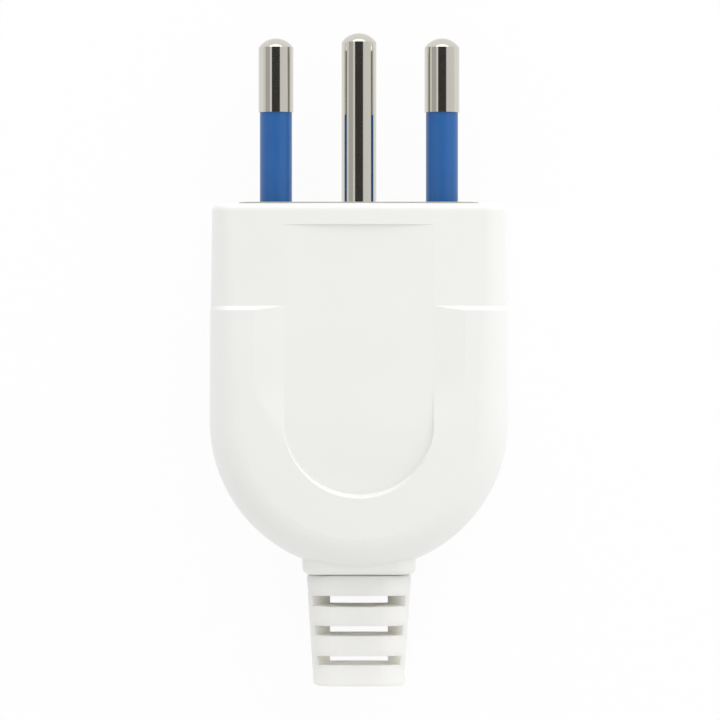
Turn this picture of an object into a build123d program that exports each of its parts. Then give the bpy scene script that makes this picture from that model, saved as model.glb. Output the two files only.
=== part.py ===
from build123d import *
import os
from math import radians, sqrt, tan

# All sizes are in millimetres. X runs across the pins, +Y along them to their tips, +Z out of the
# front face. The origin is the middle of the engagement face, on the earth pin's axis.

# Contact pins
pin_spacing = 9.5
pin_diameter = 4.0
pin_core_diameter = 2.9
pin_tip_sphere = 2.4
live_pin_reach = 19.0
earth_pin_reach = 19.6
sleeve_reach = 10.5
sleeve_diameter = 3.68
sleeve_root = 4.0
root_diameter = 4.6
collar_diameter = 5.4
collar_length = 1.0
spigot_diameter = 2.4
spigot_length = 2.2
moulded_gap = 0.01
turned_gap = 0.05

# Terminal blocks and their screws
terminal_width = 5.6
terminal_length = 8.5
terminal_bevel = 0.4
wire_hole_diameter = 3.0
wire_hole_depth = 5.8
terminal_screw_setback = 5.2
terminal_screw_lift = 0.4
terminal_screw_length = 3.4
screw_diameter = 3.0
terminal_head_diameter = 5.0
terminal_head_height = 1.5
terminal_head_room = 0.7
screw_slot_width = 0.8
screw_slot_depth = 0.7

# Casing outline and its broad faces
top_half_width = 16.65
ledge_flare = 0.18
horseshoe_flare = 0.07
tail_flare = 0.08
tail_centre = 24.72
front_depth = 7.5
rear_depth = 7.5
horseshoe_rise = 0.45
crown_radius = 150.0
top_rim = 2.6
ledge_rim = 3.0
horseshoe_rim = 3.4
tail_rim = 4.0
top_edge_round = 0.8
seam_bevel = 0.15
casing_setback = 0.1
ledge_start = 11.7
ledge_run = 0.5
wall = 1.8
lip = 2.0

# Tongue-shaped recess on each broad face
tongue_top = 2.5
tongue_half_width = 8.4
tongue_round_shift = 0.18
tongue_depth = 0.25
tongue_fall = 1.1
tongue_fall_lead = 1.1
tongue_wall_angle = 18.0
horseshoe_roll_reach = 5.6
horseshoe_roll_radius = 60.0
horseshoe_roll_steps = 4

# Mouth of the casing and the pin carrier that fills it
mouth_side_wall = 2.9
mouth_round = 2.4
carrier_clearance = 0.1
flange_side_overlap = 0.65
flange_face_overlap = 0.5
flange_face_room = 0.7
flange_thickness = 3.0
tray_side_wall = 0.7
tray_wall_top = 2.6
tray_back_wall = 1.9
block_clearance = 0.1
barrier_core_width = 1.3
barrier_core_margin = 1.2
carrier_stop_length = 1.2
carrier_rest_width = 1.0

# Casing screws, their nuts and bosses
case_boss_radius = 3.9
case_boss_inset = 1.58
case_head_diameter = 5.5
case_head_height = 2.0
case_head_recess = 0.6
case_screw_past_nut = 1.1
case_counterbore_gap = 0.25
screw_hole_gap = 0.2
nut_width = 5.5
nut_thickness = 2.4
nut_seat = 1.6
nut_gap = 0.15

# Cord clamp
clamp_shift = 0.6
clamp_screw_offset = 6.6
clamp_post_radius = 2.4
clamp_post_top = 0.4
clamp_half_length = 9.0
clamp_width = 4.8
clamp_thickness = 1.7
clamp_arch_radius = 3.0
clamp_arch_wall = 1.0
clamp_screw_length = 6.4
clamp_head_diameter = 4.6
clamp_head_height = 1.3
saddle_rib_width = 0.9
saddle_rib_spacing = 2.4
saddle_half_width = 4.6
saddle_radius = 3.6

# Neck of the casing and the flexible cord guard
cord_bore_radius = 3.3
neck_half_width = 6.45
neck_half_depth = 5.3
neck_round = 2.35
neck_length = 0.5
neck_end_round = 0.8
throat_half_width = 4.7
throat_half_depth = 4.2
throat_round = 2.6
guard_clearance = 0.1
guard_flange_half_width = 6.2
guard_flange_half_depth = 4.9
guard_flange_seat = 4.9
guard_flange_thickness = 1.6
guard_top_half_width = 5.95
guard_end_half_width = 5.17
guard_top_half_depth = 4.9
guard_end_half_depth = 4.3
guard_top_section_round = 3.2
guard_end_section_round = 2.8
guard_end_round = 0.35
guard_length = 12.7
flange_rib_thickness = 0.8
flange_rib_half_width = 7.2

# Ladder slots in the guard
first_slot_drop = 2.38
slot_pitch = 3.42
slot_count = 3
slot_middle_height = 1.0
first_slot_face_height = 1.3
slot_height_step = 0.11
first_slot_end_flare = 0.62
slot_flare_step = 0.09

# Reach of the tools that cut right through, past every face of the plug
clear_of_form = 30.0

# Widths that follow the casing's width at its top, down its slightly flared sides
ledge_half_width = top_half_width + ledge_flare
horseshoe_half_width = ledge_half_width + horseshoe_flare
tail_radius = horseshoe_half_width + tail_flare
mouth_half_width = top_half_width - mouth_side_wall
flange_half_width = mouth_half_width + flange_side_overlap

# Depths and heights that follow the casing's depth
flange_half_depth = min(front_depth, rear_depth) - wall - flange_face_room
mouth_half_depth = flange_half_depth - flange_face_overlap
terminal_head_seat = front_depth - wall - terminal_head_room - terminal_head_height
terminal_height = 2 * (terminal_head_seat - terminal_screw_lift)
case_head_seat = rear_depth - case_head_recess - case_head_height
case_screw_length = case_head_seat + nut_seat + nut_thickness + case_screw_past_nut

# Stations down the plug, each from the piece that it follows
terminal_start = lip + flange_thickness + collar_length
tray_end = terminal_start + terminal_length + tray_back_wall + block_clearance
tray_half_width = pin_spacing + terminal_width / 2 + block_clearance + tray_side_wall
tongue_round = tail_centre + tongue_round_shift
tongue_fall_start = tongue_round - tongue_fall_lead
case_screw_station = tail_centre
case_screw_offset = tail_radius - case_boss_radius - case_boss_inset
neck_end = tail_centre + tail_radius + neck_length
guard_flange_start = neck_end - guard_flange_seat
guard_end = neck_end + guard_length
slot_first = neck_end + first_slot_drop
clamp_station = (case_screw_station + guard_flange_start) / 2 + clamp_shift


def station(y):
    """Plane across the plug at y, with X across and Z as its upward direction."""
    return Plane.XZ.offset(-y)


def casing_section(y, half_width, depth, rim, crown):
    """Cross-section of one casing half, from the parting plane out to its broad face."""
    fall = crown - sqrt(crown**2 - half_width**2) if crown else 0.0
    edge = depth - fall
    lines = Polyline((-half_width, edge), (-half_width, 0), (half_width, 0), (half_width, edge))
    if crown:
        broad_face = ThreePointArc((half_width, edge), (0, depth), (-half_width, edge))
    else:
        broad_face = Line((half_width, edge), (-half_width, edge))
    face = make_face(lines + broad_face)
    face = fillet(face.vertices().group_by(Axis.Y)[-1], rim)
    return station(y) * face


def casing_form(inset, depth, rise, crown):
    """Solid form of one casing half, drawn in by inset on every side but the parting plane."""
    bend = crown - inset if crown else 0.0
    start = -lip if inset else -casing_setback
    sections = [
        casing_section(start, top_half_width - inset, depth - inset, top_rim - inset, bend),
        casing_section(-ledge_start, ledge_half_width - inset, depth - inset, ledge_rim - inset, bend),
        casing_section(
            -ledge_start - ledge_run,
            horseshoe_half_width - inset,
            depth + rise - inset,
            horseshoe_rim - inset,
            bend,
        ),
        casing_section(-tail_centre, tail_radius - inset, depth + rise - inset, tail_rim - inset, bend),
    ]
    sides = loft(sections, ruled=True)
    right_side = Rectangle(clear_of_form, 2 * clear_of_form, align=(Align.MIN, Align.CENTER))
    right_half = station(-tail_centre) * right_side
    turning_axis = Axis((0, -tail_centre, 0), (0, 0, -1))
    tail = revolve(sections[-1] & right_half, turning_axis, 180)
    return sides + tail


def tongue_outline(z, reach, top):
    """Outline of the tongue at height z: straight sides, square top and a half-round end."""
    half_width = tongue_half_width + reach
    sides = Polyline(
        (-half_width, -tongue_round), (-half_width, top), (half_width, top), (half_width, -tongue_round)
    )
    end = ThreePointArc(
        (half_width, -tongue_round), (0, -tongue_round - half_width), (-half_width, -tongue_round)
    )
    return Pos(0, 0, z) * make_face(sides + end)


def tongue_floor_height(depth):
    """Height at which the flat upper stretch of the tongue's floor lies."""
    return depth - tongue_depth


def tongue_space(depth, grow):
    """Space above the tongue's floor, inside its drafted walls, made larger by grow."""
    flat = tongue_floor_height(depth) - grow
    top = -tongue_top + grow
    end = -tongue_round - tongue_half_width - clear_of_form
    fall_start = -tongue_fall_start
    fall_end = -tongue_round - tongue_half_width
    floor = Polyline((fall_end, flat - tongue_fall), (end, flat - tongue_fall), (end, clear_of_form))
    rise_line = Polyline((end, clear_of_form), (top, clear_of_form), (top, flat), (fall_start, flat))
    curve = TangentArc((fall_start, flat), (fall_end, flat - tongue_fall), tangent=(-1, 0))
    profile = Plane.YZ * make_face(floor + rise_line + curve)
    above_floor = extrude(profile, clear_of_form, both=True)
    lean = tan(radians(tongue_wall_angle))
    crest = tongue_floor_height(depth)
    low = crest - tongue_fall - wall - grow
    high = crest + tongue_fall + wall
    low_reach = grow - (crest - low) * lean
    high_reach = grow + (high - crest) * lean
    walls = loft(
        [
            tongue_outline(low, low_reach, -tongue_top + low_reach),
            tongue_outline(high, high_reach, -tongue_top + high_reach),
        ],
        ruled=True,
    )
    return above_floor & walls


def roll_height(reach):
    """Height that the horseshoe's rolled inner edge gains at a distance from the tongue's side."""
    full = horseshoe_roll_radius - sqrt(horseshoe_roll_radius**2 - horseshoe_roll_reach**2)
    left = horseshoe_roll_reach - reach
    return full - horseshoe_roll_radius + sqrt(horseshoe_roll_radius**2 - left**2)


def rolled_outline(z, reach, lean_reach):
    """Outline of the horseshoe's opening: set out by reach at its sides and hardly at its end."""
    half_width = tongue_half_width + reach
    top = -ledge_start
    sides = Polyline(
        (-half_width, -tongue_round), (-half_width, top), (half_width, top), (half_width, -tongue_round)
    )
    end = EllipticalCenterArc(
        (0, -tongue_round), half_width, tongue_half_width + lean_reach, start_angle=180, arc_size=180
    )
    return Pos(0, 0, z) * make_face(sides + end)


def horseshoe_roll_space(depth):
    """Space over the horseshoe's legs, which roll gently down to the sides of the tongue.

    The roll fades out round the tongue's end, where the drafted wall goes right up to the face.
    """
    crest = tongue_floor_height(depth)
    lean = tan(radians(tongue_wall_angle))
    outlines = [tongue_outline(crest, 0, -ledge_start)]
    for step in range(1, horseshoe_roll_steps + 1):
        reach = horseshoe_roll_reach * step / horseshoe_roll_steps
        height = roll_height(reach)
        outlines.append(rolled_outline(crest + height, reach, height * lean))
    outlines.append(rolled_outline(crest + wall, horseshoe_roll_reach + wall * lean, wall * lean))
    return loft(outlines, ruled=True)


def rounded_bar(y_from, y_to, half_width, half_depth, radius):
    """Straight bar of rounded-rectangle section between two stations along Y."""
    face = station(y_from) * RectangleRounded(2 * half_width, 2 * half_depth, radius)
    return extrude(face, y_from - y_to)


def rod(y_from, y_to, radius, x=0.0, z=0.0):
    """Straight round rod along Y between two stations."""
    return extrude(station(y_from) * Pos(x, z) * Circle(radius), y_from - y_to)


def post(x, y, z_from, z_to, radius):
    """Upright round post along Z."""
    return extrude(Pos(x, y, z_from) * Circle(radius), z_to - z_from)


def block(x_from, x_to, y_from, y_to, z_from, z_to):
    """Rectangular block between two corners."""
    middle = ((x_from + x_to) / 2, (y_from + y_to) / 2, (z_from + z_to) / 2)
    return Pos(*middle) * Box(abs(x_to - x_from), abs(y_to - y_from), abs(z_to - z_from))


def front_half_of(solid):
    """The half of a solid on the front side of the parting plane."""
    return solid & block(-clear_of_form, clear_of_form, -guard_end, clear_of_form, 0, clear_of_form)


def casing_room(depth, rise, crown):
    """Space that ribs and bosses inside one half may fill, up to the middle of its walls."""
    return casing_form(wall / 2, depth, rise, crown) - tongue_space(depth, wall / 2)


def half_casing(depth, rise, crown, room):
    """One moulded half of the casing, before its bosses: walls, lip, neck, pocket and ribs."""
    outer = casing_form(0.0, depth, rise, crown)
    top_edges = outer.edges().group_by(Axis.Y)[-1].filter_by(lambda edge: edge.center().Z > seam_bevel)
    outer = fillet(top_edges, top_edge_round)
    outer -= tongue_space(depth, 0.0)
    if rise:
        outer -= horseshoe_roll_space(depth)
    neck = rounded_bar(-tail_centre, -neck_end, neck_half_width, neck_half_depth, neck_round)
    neck = fillet(neck.edges().group_by(Axis.Y)[0], neck_end_round)
    outer += front_half_of(neck)
    outer = chamfer(outer.faces().sort_by(Axis.Z)[0].outer_wire().edges(), seam_bevel)
    cavity = casing_form(wall, depth, rise, crown) - tongue_space(depth, wall)
    shell = outer - cavity
    shell -= rounded_bar(0, -lip - wall, mouth_half_width, mouth_half_depth, mouth_round)
    flange_end = guard_flange_start + guard_flange_thickness
    shell -= rounded_bar(
        -guard_flange_start + guard_clearance,
        -flange_end - guard_clearance,
        guard_flange_half_width + guard_clearance,
        guard_flange_half_depth + guard_clearance,
        throat_round,
    )
    shell -= rounded_bar(-flange_end, -neck_end, throat_half_width, throat_half_depth, throat_round)
    return shell + (half_casing_ribs(depth + rise) & room)


def half_casing_ribs(depth):
    """Ribs inside one half: the stops behind the carrier's flange and the guard's flange rib."""
    stop_start = -lip - flange_thickness - 2 * carrier_clearance
    stops = Part()
    for side in (-1, 1):
        stops += block(
            side * (tray_half_width + 2 * carrier_clearance),
            side * tail_radius,
            stop_start,
            stop_start - carrier_stop_length,
            0,
            depth,
        )
    rib_start = -guard_flange_start + guard_clearance
    rib = block(
        -flange_rib_half_width,
        flange_rib_half_width,
        rib_start,
        rib_start + flange_rib_thickness,
        0,
        depth,
    )
    rib -= rod(rib_start + wall, rib_start - wall, cord_bore_radius + flange_rib_thickness)
    return stops + rib


def front_shell():
    """Front casing half: crowned face, raised horseshoe, and two bosses holding square nuts."""
    room = casing_room(front_depth, horseshoe_rise, crown_radius)
    shell = half_casing(front_depth, horseshoe_rise, crown_radius, room)
    half_nut = nut_width / 2 + nut_gap
    screw_tip = case_screw_length - case_head_seat
    for side in (-1, 1):
        x = side * case_screw_offset
        boss = post(x, -case_screw_station, 0, front_depth, case_boss_radius) & room
        shell += boss
        shell -= block(
            x + side * half_nut,
            x - side * (case_boss_radius + half_nut),
            -case_screw_station - half_nut,
            -case_screw_station + half_nut,
            nut_seat - nut_gap,
            nut_seat + nut_thickness + nut_gap,
        )
        shell -= post(x, -case_screw_station, 0, screw_tip + nut_gap, screw_diameter / 2 + screw_hole_gap)
    return shell


def rear_shell():
    """Rear casing half: flat face, counterbored bosses, clamp posts and the cord saddle."""
    room = casing_room(rear_depth, 0.0, 0.0)
    shell = half_casing(rear_depth, 0.0, 0.0, room)
    for side in (-1, 1):
        x = side * case_screw_offset
        shell += post(x, -case_screw_station, 0, rear_depth, case_boss_radius) & room
        shell -= post(
            x,
            -case_screw_station,
            case_head_seat,
            rear_depth + wall,
            case_head_diameter / 2 + case_counterbore_gap,
        )
        shell -= post(x, -case_screw_station, 0, rear_depth, screw_diameter / 2 + screw_hole_gap)
        clamp_x = side * clamp_screw_offset
        shell += post(clamp_x, -clamp_station, 0, rear_depth, clamp_post_radius) & room
    for row in (-1, 1):
        y = -clamp_station + row * saddle_rib_spacing / 2
        rib = block(
            -saddle_half_width,
            saddle_half_width,
            y - saddle_rib_width / 2,
            y + saddle_rib_width / 2,
            0,
            rear_depth,
        )
        shell += (rib - rod(y + wall, y - wall, saddle_radius)) & room
    for y in (-lip - flange_thickness - 2 * carrier_rest_width, -tray_end + 2 * carrier_rest_width):
        rest = block(
            -tray_half_width,
            tray_half_width,
            y - carrier_rest_width / 2,
            y + carrier_rest_width / 2,
            flange_half_depth + turned_gap,
            rear_depth,
        )
        shell += rest & room
    shell = mirror(shell, Plane.XY)
    for side in (-1, 1):
        clamp_x = side * clamp_screw_offset
        shell += post(clamp_x, -clamp_station, -wall, clamp_post_top, clamp_post_radius)
        shell -= post(
            clamp_x,
            -clamp_station,
            clamp_post_top - clamp_screw_length + clamp_thickness,
            clamp_post_top,
            screw_diameter / 2 + turned_gap,
        )
    return shell


def pin_carrier():
    """Moulded carrier: face plate and flange in front, with a tray of three terminal pockets."""
    nose = rounded_bar(
        0,
        -lip - carrier_clearance,
        mouth_half_width - carrier_clearance,
        mouth_half_depth - carrier_clearance,
        mouth_round,
    )
    flange_back = -lip - flange_thickness
    flange = rounded_bar(
        -lip - carrier_clearance / 2, flange_back, flange_half_width, flange_half_depth, mouth_round
    )
    carrier = nose + flange
    carrier += block(
        -tray_half_width, tray_half_width, flange_back, -tray_end, -flange_half_depth, tray_wall_top
    )
    pocket_half = terminal_width / 2 + block_clearance
    pocket_end = -terminal_start - terminal_length - block_clearance
    pocket_floor = -terminal_height / 2 - turned_gap
    for x in (-pin_spacing, 0, pin_spacing):
        carrier -= rod(0, flange_back, pin_diameter / 2 + turned_gap, x)
        root_start = -sleeve_root if x else 0
        carrier -= rod(root_start, flange_back, root_diameter / 2 + turned_gap, x)
        carrier -= block(
            x - pocket_half, x + pocket_half, flange_back, pocket_end, pocket_floor, clear_of_form
        )
        notch_half = wire_hole_diameter / 2 + block_clearance
        carrier -= rod(pocket_end + wall, -tray_end - wall, notch_half, x)
        carrier -= block(
            x - notch_half, x + notch_half, pocket_end + wall, -tray_end - wall, 0, clear_of_form
        )
    for side in (-1, 1):
        middle = side * pin_spacing / 2
        carrier -= block(
            middle - barrier_core_width / 2,
            middle + barrier_core_width / 2,
            flange_back - barrier_core_margin,
            -tray_end + barrier_core_margin,
            pocket_floor,
            clear_of_form,
        )
    return carrier


def pin_tip(reach, x):
    """Solid end of a pin: a shallow spherical cap that meets the shank at a crisp edge."""
    cap = pin_tip_sphere - sqrt(pin_tip_sphere**2 - (pin_diameter / 2) ** 2)
    shank = rod(reach, reach - 2 * cap, pin_diameter / 2, x)
    return shank & (Pos(x, reach - pin_tip_sphere, 0) * Sphere(pin_tip_sphere)), cap


def pin_root(x, start):
    """Thick root held in the carrier, collar behind it, and the spigot staked in the terminal."""
    collar_start = -lip - flange_thickness
    root = rod(start, collar_start, root_diameter / 2, x)
    root += rod(collar_start, collar_start - collar_length, collar_diameter / 2, x)
    return root + rod(
        collar_start - collar_length,
        collar_start - collar_length - spigot_length,
        spigot_diameter / 2,
        x,
    )


def live_pin(x):
    """Turned pin for line or neutral, necked down where its insulating sleeve sits."""
    tip, cap = pin_tip(live_pin_reach, x)
    pin = tip + rod(live_pin_reach - cap, sleeve_reach, pin_diameter / 2, x)
    pin += rod(sleeve_reach, -sleeve_root, pin_core_diameter / 2, x)
    return pin + pin_root(x, -sleeve_root)


def earth_pin():
    """Turned earth pin, bare along its whole length and a little longer than the others."""
    tip, cap = pin_tip(earth_pin_reach, 0)
    return tip + rod(earth_pin_reach - cap, 0, pin_diameter / 2) + pin_root(0, 0)


def pin_sleeve(x):
    """Insulating sleeve moulded round the necked part of a live pin."""
    outside = rod(sleeve_reach, -sleeve_root, sleeve_diameter / 2, x)
    return outside - rod(sleeve_reach, -sleeve_root, pin_core_diameter / 2 + moulded_gap, x)


def terminal_block(x):
    """Brass block staked on a pin's spigot, with a wire hole behind and a screw hole on top."""
    start = -terminal_start
    body = block(
        x - terminal_width / 2,
        x + terminal_width / 2,
        start,
        start - terminal_length,
        -terminal_height / 2,
        terminal_height / 2,
    )
    body = chamfer(body.edges().filter_by(Axis.Y), terminal_bevel)
    body -= rod(start, start - spigot_length - turned_gap, spigot_diameter / 2 + turned_gap, x)
    body -= rod(
        start - terminal_length + wire_hole_depth, start - terminal_length, wire_hole_diameter / 2, x
    )
    return body - post(
        x,
        start - terminal_screw_setback,
        0,
        terminal_height / 2,
        screw_diameter / 2 + turned_gap,
    )


def slotted_screw(shank_length, head_diameter, head_height):
    """Cheese-head screw standing on z = 0, head upwards, its shank reaching down."""
    head = extrude(Circle(head_diameter / 2), head_height)
    slot = block(
        -head_diameter,
        head_diameter,
        -screw_slot_width / 2,
        screw_slot_width / 2,
        head_height - screw_slot_depth,
        head_height,
    )
    shank = extrude(Circle(screw_diameter / 2), -shank_length)
    shank = chamfer(shank.edges().group_by(Axis.Z)[0], screw_slot_width / 2)
    return head - slot + shank


def terminal_screw(x):
    """Screw that presses the wire in a terminal block, wound part of the way out."""
    screw = slotted_screw(terminal_screw_length, terminal_head_diameter, terminal_head_height)
    y = -terminal_start - terminal_screw_setback
    return Pos(x, y, terminal_head_seat) * screw


def case_screw(side):
    """Screw that closes the casing from behind, its head down in the rear counterbore."""
    screw = slotted_screw(case_screw_length, case_head_diameter, case_head_height)
    return Pos(side * case_screw_offset, -case_screw_station, -case_head_seat) * Rot(180, 0, 0) * screw


def case_nut(side):
    """Square nut in the front boss that the casing screw pulls up."""
    x = side * case_screw_offset
    nut = block(
        x - nut_width / 2,
        x + nut_width / 2,
        -case_screw_station - nut_width / 2,
        -case_screw_station + nut_width / 2,
        nut_seat,
        nut_seat + nut_thickness,
    )
    return nut - post(x, -case_screw_station, 0, front_depth, screw_diameter / 2 + turned_gap)


def cord_clamp():
    """Arched bar that two screws pull down over the cord."""
    half_width = clamp_width / 2
    bar = block(
        -clamp_half_length,
        clamp_half_length,
        -clamp_station - half_width,
        -clamp_station + half_width,
        clamp_post_top,
        clamp_post_top + clamp_thickness,
    )
    bar = fillet(bar.edges().filter_by(Axis.Z), half_width - turned_gap)
    arch = rod(
        -clamp_station + half_width, -clamp_station - half_width, clamp_arch_radius + clamp_arch_wall
    )
    arch &= block(
        -clear_of_form, clear_of_form, -guard_end, 0, clamp_post_top, clear_of_form
    )
    bar += arch
    bar -= rod(-clamp_station + clamp_width, -clamp_station - clamp_width, clamp_arch_radius)
    for side in (-1, 1):
        bar -= post(
            side * clamp_screw_offset, -clamp_station, 0, front_depth, screw_diameter / 2 + screw_hole_gap
        )
    return bar


def clamp_screw(side):
    """Screw through one end of the cord clamp into a post of the rear shell."""
    screw = slotted_screw(clamp_screw_length, clamp_head_diameter, clamp_head_height)
    return Pos(side * clamp_screw_offset, -clamp_station, clamp_post_top + clamp_thickness) * screw


def ladder_slot(number):
    """Space of one slot: it narrows from both faces to the middle, at its ends and its floor."""
    top = -slot_first - number * slot_pitch
    face_height = first_slot_face_height - number * slot_height_step
    reach = guard_top_half_depth + wall
    middle_half = cord_bore_radius
    face_half = middle_half + (first_slot_end_flare - number * slot_flare_step) * reach
    drop = slot_middle_height + (face_height - slot_middle_height) * reach / guard_top_half_depth
    middle = Pos(0, top - slot_middle_height / 2, 0) * Rectangle(2 * middle_half, slot_middle_height)
    opening = Pos(0, top - drop / 2, reach) * Rectangle(2 * face_half, drop)
    front = loft([middle, opening], ruled=True)
    return front + mirror(front, Plane.XY)


def guard_section(distance, half_width, half_depth, radius):
    """Rounded-rectangle section of the guard's taper at a distance down the plug."""
    return station(-distance) * RectangleRounded(2 * half_width, 2 * half_depth, radius)


def strain_relief():
    """Flexible cord guard: trapped flange, throat through the neck, and a slotted flat taper."""
    taper = loft(
        [
            guard_section(
                neck_end + guard_clearance,
                guard_top_half_width,
                guard_top_half_depth,
                guard_top_section_round,
            ),
            guard_section(
                guard_end, guard_end_half_width, guard_end_half_depth, guard_end_section_round
            ),
        ],
        ruled=True,
    )
    ends = taper.edges().group_by(Axis.Y)
    taper = fillet(ends[0] + ends[-1], guard_end_round)
    flange_end = guard_flange_start + guard_flange_thickness
    guard = taper + rounded_bar(
        -flange_end,
        -neck_end - guard_clearance,
        throat_half_width - guard_clearance,
        throat_half_depth - guard_clearance,
        throat_round,
    )
    guard += rounded_bar(
        -guard_flange_start,
        -flange_end,
        guard_flange_half_width,
        guard_flange_half_depth,
        throat_round,
    )
    guard -= rod(0, -guard_end, cord_bore_radius)
    for number in range(slot_count):
        guard -= ladder_slot(number)
    return guard


nodes = {
    "front_shell": front_shell(),
    "rear_shell": rear_shell(),
    "pin_carrier": pin_carrier(),
    "earth_pin": earth_pin(),
    "earth_terminal": terminal_block(0),
    "earth_terminal_screw": terminal_screw(0),
    "cord_clamp": cord_clamp(),
    "strain_relief": strain_relief(),
}
for name, side in (("left", -1), ("right", 1)):
    nodes[f"{name}_pin"] = live_pin(side * pin_spacing)
    nodes[f"{name}_pin_sleeve"] = pin_sleeve(side * pin_spacing)
    nodes[f"{name}_terminal"] = terminal_block(side * pin_spacing)
    nodes[f"{name}_terminal_screw"] = terminal_screw(side * pin_spacing)
    nodes[f"{name}_clamp_screw"] = clamp_screw(side)
    nodes[f"{name}_case_screw"] = case_screw(side)
    nodes[f"{name}_case_nut"] = case_nut(side)

os.makedirs("parts", exist_ok=True)
for name, solid in nodes.items():
    export_step(solid, f"parts/{name}.step")
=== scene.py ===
import math

import bpy
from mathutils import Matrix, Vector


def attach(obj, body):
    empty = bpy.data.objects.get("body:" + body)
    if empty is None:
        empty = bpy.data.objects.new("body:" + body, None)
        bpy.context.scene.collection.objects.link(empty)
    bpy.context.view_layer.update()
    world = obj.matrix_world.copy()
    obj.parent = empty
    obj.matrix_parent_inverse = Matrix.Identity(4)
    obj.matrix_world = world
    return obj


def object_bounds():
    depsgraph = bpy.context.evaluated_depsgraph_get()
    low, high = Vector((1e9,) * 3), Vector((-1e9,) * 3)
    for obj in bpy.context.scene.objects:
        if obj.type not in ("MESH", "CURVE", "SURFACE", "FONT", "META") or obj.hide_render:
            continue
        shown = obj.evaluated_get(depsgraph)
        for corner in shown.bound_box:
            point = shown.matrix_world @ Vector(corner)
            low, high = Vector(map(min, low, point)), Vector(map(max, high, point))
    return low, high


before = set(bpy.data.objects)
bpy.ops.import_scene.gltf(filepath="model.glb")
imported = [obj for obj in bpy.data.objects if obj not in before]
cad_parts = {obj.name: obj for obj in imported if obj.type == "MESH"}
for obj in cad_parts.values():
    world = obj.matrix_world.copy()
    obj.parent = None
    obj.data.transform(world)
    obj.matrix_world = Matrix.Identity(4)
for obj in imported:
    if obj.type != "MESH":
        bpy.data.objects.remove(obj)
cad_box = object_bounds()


# The two casing halves. Each is injection-moulded in white plastic with polished tools, and they are
# screwed together from behind, with a fine bevel along the seam between them.
millimetre = 0.001


class Field:
    """One output socket of a node tree. Arithmetic on it adds Math nodes."""

    def __init__(self, tree, socket=None):
        self.tree = tree
        self.socket = socket

    def node(self, kind, settings=None, inputs=None, output=0):
        """Adds a node: its settings first, then the values or links of its sockets."""
        made = self.tree.nodes.new(kind)
        for name, value in (settings or {}).items():
            if name == "stops":
                ramp = made.color_ramp
                while len(ramp.elements) < len(value):
                    ramp.elements.new(0.5)
                for stop, (position, level) in zip(ramp.elements, value):
                    stop.position = position
                    stop.color = (level, level, level, 1.0)
            else:
                setattr(made, name, value)
        for name, value in (inputs or {}).items():
            if isinstance(value, Field):
                self.tree.links.new(value.socket, made.inputs[name])
            else:
                made.inputs[name].default_value = value
        return Field(self.tree, made.outputs[output] if made.outputs else None)

    def beside(self, output):
        """Another output of the same node."""
        return Field(self.tree, self.socket.node.outputs[output])

    def worked(self, operation, first, second=0.0):
        """Result of one operation of a Math node."""
        return self.node("ShaderNodeMath", {"operation": operation}, {0: first, 1: second})

    def __add__(self, other):
        return self.worked("ADD", self, other)

    def __radd__(self, other):
        return self.worked("ADD", other, self)

    def __sub__(self, other):
        return self.worked("SUBTRACT", self, other)

    def __rsub__(self, other):
        return self.worked("SUBTRACT", other, self)

    def __mul__(self, other):
        return self.worked("MULTIPLY", self, other)

    def __rmul__(self, other):
        return self.worked("MULTIPLY", other, self)

    def __truediv__(self, other):
        return self.worked("DIVIDE", self, other)


def new_finish(name):
    """Empty material of that name, and the field that its nodes are added with."""
    material = bpy.data.materials.new(name)
    material.use_nodes = True
    material.node_tree.nodes.clear()
    return material, Field(material.node_tree)


def close_finish(finish, shader):
    """Sends the shader to the material's surface."""
    finish.node("ShaderNodeOutputMaterial", None, {"Surface": shader})


def place_on(finish):
    """Place on the piece in metres."""
    return finish.node("ShaderNodeTexCoord", None, None, "Object")


def noise(finish, place, feature, detail=2.0):
    """Soft noise from 0 to 1 whose features are about that many millimetres wide."""
    inputs = {"Vector": place, "Scale": 1 / (feature * millimetre), "Detail": detail, "Roughness": 0.5}
    return finish.node("ShaderNodeTexNoise", None, inputs)


def between(finish, share, dark, light):
    """Colour that goes from the dark one to the light one with the share."""
    return finish.node("ShaderNodeMix", {"data_type": "RGBA"}, {0: share, 6: dark, 7: light}, 2)


def wear(names, material):
    """Gives the CAD nodes of those names their finish."""
    for name in names:
        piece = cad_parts[name]
        piece.data.materials.clear()
        piece.data.materials.append(material)


casing_white, casing = new_finish("casing_white")
casing_place = place_on(casing)
casing_gloss = noise(casing, casing_place, 9.0, 3.0)
casing_grain = noise(casing, casing_place, 0.16)
casing_waves = noise(casing, casing_place, 14.0, 1.0)
waves_to_grain = 14.0
casing_relief = casing_waves * waves_to_grain + casing_grain
casing_bump = casing.node(
    "ShaderNodeBump", None, {"Height": casing_relief, "Strength": 0.6, "Distance": 0.002 * millimetre}
)
casing_shader = casing.node(
    "ShaderNodeBsdfPrincipled",
    None,
    {
        "Base Color": between(casing, casing_gloss, (0.87, 0.868, 0.846, 1.0), (0.89, 0.888, 0.866, 1.0)),
        "Roughness": 0.26 + casing_gloss * 0.14,
        "IOR": 1.5,
        "Normal": casing_bump,
    },
)
close_finish(casing, casing_shader)
wear(("front_shell", "rear_shell"), casing_white)


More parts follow.
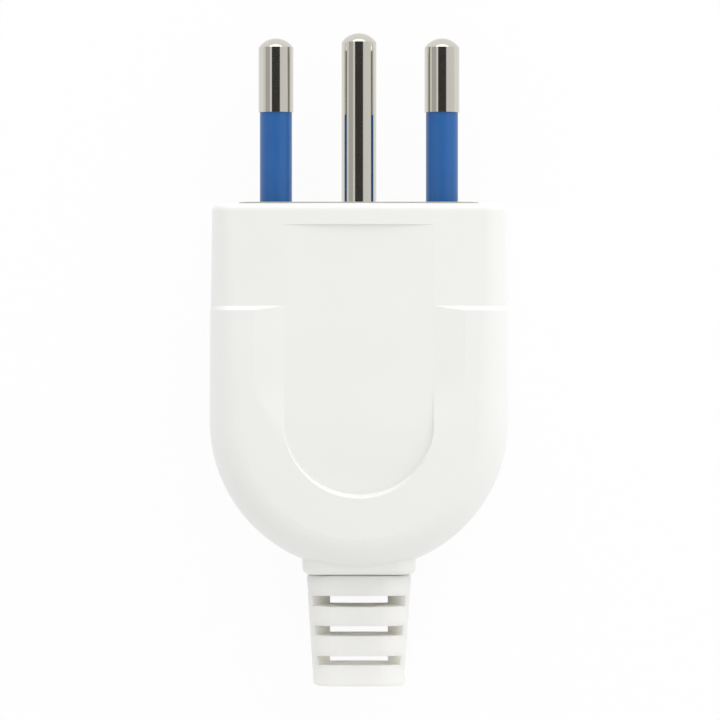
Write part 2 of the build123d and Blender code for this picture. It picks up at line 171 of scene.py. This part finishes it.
# The rounded end of the raised horseshoe, moulded in one with the front casing half. Round it the
# gentle roll of the legs dies away, and a drafted wall drops from the face to the tongue's floor.
# It is a thin closed sheet over the casing's own face. Its sizes are in millimetres.
opening_radius = 8.4
opening_turn = -24.9
leg_start = -19.5
crown_height = 7.95
crown_radius = 150.0
tail_turn = -24.72
floor_height = 7.25
floor_bend_start = -23.8
floor_bend_radius = 41.57
roll_reach = 5.6
roll_radius = 60.0
roll_fade_start = -20.0
roll_fade_length = 10.0
roll_fade_rise = 0.62
blend_to_rise = 0.3
least_blend = 0.001
wall_lean = math.tan(math.radians(18.0))
wall_sunk = 0.05
rim_reach = 4.9
rim_widening = 0.035
sheet_lift = 0.012
sheet_depth = 0.3


def crowned_face(x, y):
    """Height of the horseshoe's crowned face, which is turned round the tail beyond its centre."""
    reach = math.hypot(x, min(y - tail_turn, 0.0))
    return crown_height - crown_radius + math.sqrt(crown_radius**2 - reach**2)


def tongue_floor(y):
    """Height of the tongue's floor, flat and then curving down to its end."""
    beyond = max(floor_bend_start - y, 0.0)
    return floor_height - floor_bend_radius + math.sqrt(floor_bend_radius**2 - beyond**2)


def horseshoe_face(x, y, outward):
    """Height of the face at a distance from the opening: the lower of the crown and the roll."""
    fade = min(max((roll_fade_start - y) / roll_fade_length, 0.0), 1.0)
    rise = roll_fade_rise * fade * fade * (3 - 2 * fade)
    left = max(roll_reach - outward, 0.0)
    drop = math.sqrt(roll_radius**2 - left**2) - math.sqrt(roll_radius**2 - roll_reach**2)
    roll = floor_height + drop + rise
    crown = crowned_face(x, y)
    blend = blend_to_rise * rise + least_blend
    share = min(max(0.5 + 0.5 * (roll - crown) / blend, 0.0), 1.0)
    return roll + (crown - roll) * share - blend * share * (1 - share) + sheet_lift


def new_piece(name, points, faces, material):
    """Adds a piece with that mesh, in metres, and that finish."""
    mesh = bpy.data.meshes.new(name)
    mesh.from_pydata(points, [], faces)
    mesh.materials.append(material)
    piece = bpy.data.objects.new(name, mesh)
    bpy.context.scene.collection.objects.link(piece)
    return piece


leg_rows = 24
arc_rows = 144
stations = []
for row in range(leg_rows):
    y = leg_start + (opening_turn - leg_start) * row / leg_rows
    stations.append((opening_radius, y, 1.0, 0.0))
for row in range(arc_rows + 1):
    turn = math.pi * row / arc_rows
    out_x, out_y = math.cos(turn), -math.sin(turn)
    stations.append((opening_radius * out_x, opening_turn + opening_radius * out_y, out_x, out_y))
for x, y, out_x, out_y in reversed(stations[:leg_rows]):
    stations.append((-x, y, -out_x, out_y))

face_columns = 36
column_crowding = 1.4
sheet_top = []
for x, y, out_x, out_y in stations:
    edge = floor_height
    for _ in range(4):
        inset = (edge - floor_height) * wall_lean
        edge = horseshoe_face(x + out_x * inset, y + out_y * inset, inset)
    for height in (tongue_floor(y) - wall_sunk, edge):
        inset = (height - floor_height) * wall_lean - sheet_lift
        sheet_top.append((x + out_x * inset, y + out_y * inset, height))
    start = (edge - floor_height) * wall_lean
    rim = rim_reach + max(y - tail_turn, 0.0) * rim_widening
    for column in range(1, face_columns + 1):
        outward = start + (rim - start) * (column / face_columns) ** column_crowding
        face_x, face_y = x + out_x * outward, y + out_y * outward
        sheet_top.append((face_x, face_y, horseshoe_face(face_x, face_y, outward)))
sheet_under = [(x, y, height - sheet_depth) for x, y, height in sheet_top]

under = len(sheet_top)
columns = face_columns + 2
last_row = len(stations) - 1
last_column = columns - 1
sheet_faces = []
for row in range(last_row):
    for column in range(last_column):
        corner = row * columns + column
        top_face = (corner + columns, corner + 1 + columns, corner + 1, corner)
        sheet_faces.append(top_face)
        sheet_faces.append(tuple(point + under for point in reversed(top_face)))
border = list(range(last_column))
border += [row * columns + last_column for row in range(last_row)]
border += [last_row * columns + column for column in range(last_column, 0, -1)]
border += [row * columns for row in range(last_row, 0, -1)]
for near, far in zip(border, border[1:] + border[:1]):
    sheet_faces.append((near, far, far + under, near + under))
sheet_points = [[size * millimetre for size in point] for point in sheet_top + sheet_under]
horseshoe_end = new_piece("horseshoe_end", sheet_points, sheet_faces, casing_white)
horseshoe_end.data.shade_smooth()
horseshoe_end.data.set_sharp_from_angle(angle=math.radians(35.0))
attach(horseshoe_end, "root")


# The cord guard is moulded in softer, slightly see-through white plastic. Its flange is held in the
# casing's neck, and its slots let it bend with the cord.
def moulded_plastic(name, mottle_size, grain_size, grain_height, dark, light, smoothest, dulling, more):
    """Mottled plastic with a fine grain, whose sizes are in millimetres."""
    material, finish = new_finish(name)
    place = place_on(finish)
    mottle = noise(finish, place, mottle_size, 3.0)
    grain = noise(finish, place, grain_size)
    bump = finish.node(
        "ShaderNodeBump", None, {"Height": grain, "Strength": 0.8, "Distance": grain_height * millimetre}
    )
    sockets = {
        "Base Color": between(finish, mottle, dark, light),
        "Roughness": smoothest + mottle * dulling,
        "Normal": bump,
    }
    close_finish(finish, finish.node("ShaderNodeBsdfPrincipled", None, {**sockets, **more}))
    return material


guard_depth = {
    "IOR": 1.48,
    "Subsurface Weight": 0.8,
    "Subsurface Radius": (1.0, 0.94, 0.86),
    "Subsurface Scale": 3.5 * millimetre,
}
guard_dark = (0.905, 0.889, 0.838, 1.0)
guard_light = (0.925, 0.909, 0.858, 1.0)
guard_white = moulded_plastic(
    "guard_white", 5.0, 0.12, 0.004, guard_dark, guard_light, 0.42, 0.16, guard_depth
)
wear(("strain_relief",), guard_white)


# The insulating sleeves of the two live pins are blue plastic, moulded round the necked part of each
# pin and flush with its bare end.
blue_dark = (0.006, 0.098, 0.335, 1.0)
blue_light = (0.01, 0.112, 0.365, 1.0)
sleeve_blue = moulded_plastic("sleeve_blue", 2.5, 0.1, 0.003, blue_dark, blue_light, 0.26, 0.1, {"IOR": 1.5})
wear(("left_pin_sleeve", "right_pin_sleeve"), sleeve_blue)


# The carrier that holds the pins is drawn in a dark warm grey, and the casing halves trap its flange.
# Only the edge of its face shows from the front, and there its dark grey is painted shade for the gap.
grey_dark = (0.43, 0.42, 0.385, 1.0)
grey_light = (0.47, 0.46, 0.42, 1.0)
carrier_grey = moulded_plastic(
    "carrier_grey", 3.0, 0.12, 0.004, grey_dark, grey_light, 0.4, 0.15, {"IOR": 1.5}
)
wear(("pin_carrier",), carrier_grey)


# The face of the carrier, moulded in one with it. It stands a little proud of the casing's mouth, so
# that its edge shows as a thin grey line beside the pins, darkened as painted shade. Its sizes are in
# millimetres.
face_half_width = 13.65
face_half_depth = 5.05
face_corner = 2.4
face_levels = ((-0.3, 0.0), (0.09, 0.0), (0.12, 0.03))
corner_steps = 10
face_points = []
for proud, bevel in face_levels:
    radius = face_corner - bevel
    for corner in range(4):
        side = 1 if corner in (0, 3) else -1
        top = 1 if corner < 2 else -1
        for step in range(corner_steps + 1):
            turn = math.pi / 2 * (corner + step / corner_steps)
            x = side * (face_half_width - face_corner) + radius * math.cos(turn)
            z = top * (face_half_depth - face_corner) + radius * math.sin(turn)
            face_points.append((x * millimetre, proud * millimetre, z * millimetre))
ring = 4 * (corner_steps + 1)
face_faces = [tuple(range(ring)), tuple(reversed(range(2 * ring, 3 * ring)))]
for level in range(2):
    for point in range(ring):
        near = level * ring + point
        far = level * ring + (point + 1) % ring
        face_faces.append((far, near, near + ring, far + ring))
carrier_face = new_piece("carrier_face", face_points, face_faces, carrier_grey)
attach(carrier_face, "root")


# The three pins are turned from brass rod, domed at the tip and plated with nickel. The fine marks of
# the turning run round them.
plated_pin, plating = new_finish("plated_pin")
plating_place = place_on(plating)
turning_stretch = plating.node(
    "ShaderNodeMapping", {"vector_type": "POINT"}, {"Vector": plating_place, "Scale": (0.02, 1.0, 0.02)}
)
turning_marks = noise(plating, turning_stretch, 0.07, 3.0)
plating_cloud = noise(plating, plating_place, 2.0, 3.0)
plating_bump = plating.node(
    "ShaderNodeBump", None, {"Height": turning_marks, "Strength": 0.5, "Distance": 0.0015 * millimetre}
)
plating_shader = plating.node(
    "ShaderNodeBsdfPrincipled",
    None,
    {
        "Base Color": (0.64, 0.62, 0.56, 1.0),
        "Metallic": 1.0,
        "Roughness": 0.045 + plating_cloud * 0.03 + turning_marks * 0.02,
        "Normal": plating_bump,
    },
)
close_finish(plating, plating_shader)
wear(("earth_pin", "left_pin", "right_pin"), plated_pin)


# The terminal blocks are sawn from drawn brass bar, drilled and tapped, and staked on the pins inside
# the casing.
def clouded_metal(name, cloud_size, colour, smoothest, dulling):
    """Bare metal whose gloss changes in clouds of that many millimetres."""
    material, finish = new_finish(name)
    cloud = noise(finish, place_on(finish), cloud_size, 3.0)
    sockets = {"Base Color": colour, "Metallic": 1.0, "Roughness": smoothest + cloud * dulling}
    close_finish(finish, finish.node("ShaderNodeBsdfPrincipled", None, sockets))
    return material


terminal_brass = clouded_metal("terminal_brass", 1.5, (0.72, 0.52, 0.22, 1.0), 0.22, 0.14)
wear(("earth_terminal", "left_terminal", "right_terminal"), terminal_brass)


# The screws of the terminals, clamp and casing, and the casing's square nuts, are steel plated with
# zinc.
screw_steel = clouded_metal("screw_steel", 0.8, (0.6, 0.6, 0.6, 1.0), 0.24, 0.16)
wear([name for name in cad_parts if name.endswith(("_screw", "_nut"))], screw_steel)


# The cord clamp is an arched bar moulded in off-white plastic, held down by two screws on posts of
# the rear casing half.
clamp_white, clamp = new_finish("clamp_white")
clamp_mottle = noise(clamp, place_on(clamp), 2.0, 3.0)
clamp_shader = clamp.node(
    "ShaderNodeBsdfPrincipled",
    None,
    {"Base Color": (0.8, 0.8, 0.78, 1.0), "Roughness": 0.45 + clamp_mottle * 0.15},
)
close_finish(clamp, clamp_shader)
wear(("cord_clamp",), clamp_white)


# The studio's floor is a sheet of white paper under the plug, which lies on its flat back. It is
# white to the camera and in the metal, and keeps a trace of the plug's shadow.
floor_white, paper = new_finish("floor_white")
seen = paper.node("ShaderNodeLightPath", None, None, "Is Camera Ray")
mirrored = seen.beside("Is Glossy Ray")
passed = seen.beside("Is Transmission Ray")
glow_share = 0.93
paper_diffuse = paper.node("ShaderNodeBsdfDiffuse", None, {"Color": (0.95, 0.95, 0.95, 1.0)})
paper_glow = paper.node("ShaderNodeEmission", None, {"Color": (1.0, 1.0, 1.0, 1.0), "Strength": 1.0})
paper_shader = paper.node(
    "ShaderNodeMixShader",
    None,
    {0: (seen + mirrored + passed) * glow_share, 1: paper_diffuse, 2: paper_glow},
)
close_finish(paper, paper_shader)
floor_reach = 0.6
floor_corners = ((-1, -1), (1, -1), (1, 1), (-1, 1))
floor_points = [(side * floor_reach, end * floor_reach, cad_box[0].z) for side, end in floor_corners]
floor = new_piece("studio_floor", floor_points, [(0, 1, 2, 3)], floor_white)


# Soft studio light: a bright room, lighter towards the pins and the right. A narrow strip overhead,
# across the pins, is dark in its middle and dimmer than the room at its sides, and the polished pins
# show it as dark stripes.
room_brightness = 0.936
lighter_to_right = 0.091
lighter_to_pins = 0.09
strip_middle = 0.055
strip_half_width = 0.06
strip_half_reach = 0.09
strip_darkness = 0.95
strip_levels = (
    (-74, 0.0),
    (-70, 0.42),
    (-40, 0.42),
    (-37, 0.0),
    (-28, 0.0),
    (-25, 1.0),
    (26, 1.0),
    (29, 0.2),
)
scene = bpy.context.scene
world = bpy.data.worlds.new("studio_room")
scene.world = world
world.use_nodes = True
world.node_tree.nodes.clear()
room = Field(world.node_tree)
direction = room.node("ShaderNodeTexCoord", None, None, "Generated")
across = room.node("ShaderNodeSeparateXYZ", None, {"Vector": direction}, "X")
along = across.beside("Y")
upward = across.beside("Z")
strip_place = room.worked("ARCTAN2", across, upward) / (2 * math.pi) + 0.5
strip = room.node(
    "ShaderNodeValToRGB",
    {"stops": [((degrees + 180) / 360, level) for degrees, level in strip_levels]},
    {"Fac": strip_place},
)
strip_edge = room.node(
    "ShaderNodeMapRange",
    {"interpolation_type": "SMOOTHSTEP"},
    {
        "Value": room.worked("ABSOLUTE", along - strip_middle),
        "From Min": strip_half_width,
        "From Max": strip_half_reach,
        "To Min": 1.0,
        "To Max": 0.0,
    },
)
room_level = room_brightness + across * lighter_to_right + along * lighter_to_pins
room_level = room_level * (1 - strip * strip_edge * strip_darkness)
room_seen = room.node("ShaderNodeLightPath", None, None, "Is Camera Ray")
room_light = room.node("ShaderNodeBackground", None, {"Color": (1.0, 1.0, 1.0, 1.0), "Strength": room_level})
backdrop = room.node("ShaderNodeBackground", None, {"Color": (1.0, 1.0, 1.0, 1.0), "Strength": 1.0})
room_shader = room.node("ShaderNodeMixShader", None, {0: room_seen, 1: room_light, 2: backdrop})
room.node("ShaderNodeOutputWorld", None, {"Surface": room_shader})


# Two soft lamps: a long low one beyond the pins, and a square one beyond them to the right. They
# light the faces that look towards the pins, and shine in the pins' domed ends.
plug_middle = (cad_box[0] + cad_box[1]) / 2


def soft_lamp(name, width, height, energy, location):
    """Area lamp aimed at the middle of the plug."""
    lamp = bpy.data.lights.new(name, "AREA")
    lamp.shape = "RECTANGLE"
    lamp.size = width
    lamp.size_y = height
    lamp.energy = energy
    holder = bpy.data.objects.new(name, lamp)
    holder.location = location
    holder.rotation_mode = "QUATERNION"
    holder.rotation_quaternion = (plug_middle - holder.location).to_track_quat("-Z", "Y")
    scene.collection.objects.link(holder)


soft_lamp("low_lamp", 1.1, 0.26, 1.1, (0.06, 0.5, 0.16))
soft_lamp("side_lamp", 0.3, 0.3, 0.25, (0.36, 0.3, 0.26))


# The camera looks straight down on the plug from half a metre, with the pins at the top. Its long
# lens takes in a little more than the plug's length.
camera = bpy.data.cameras.new("camera")
camera.sensor_width = 36.0
camera.lens = 218.4
camera_holder = bpy.data.objects.new("camera", camera)
camera_holder.location = (0.12 * millimetre, -17.82 * millimetre, 0.5)
scene.collection.objects.link(camera_holder)
scene.camera = camera_holder
scene.view_settings.view_transform = "Standard"
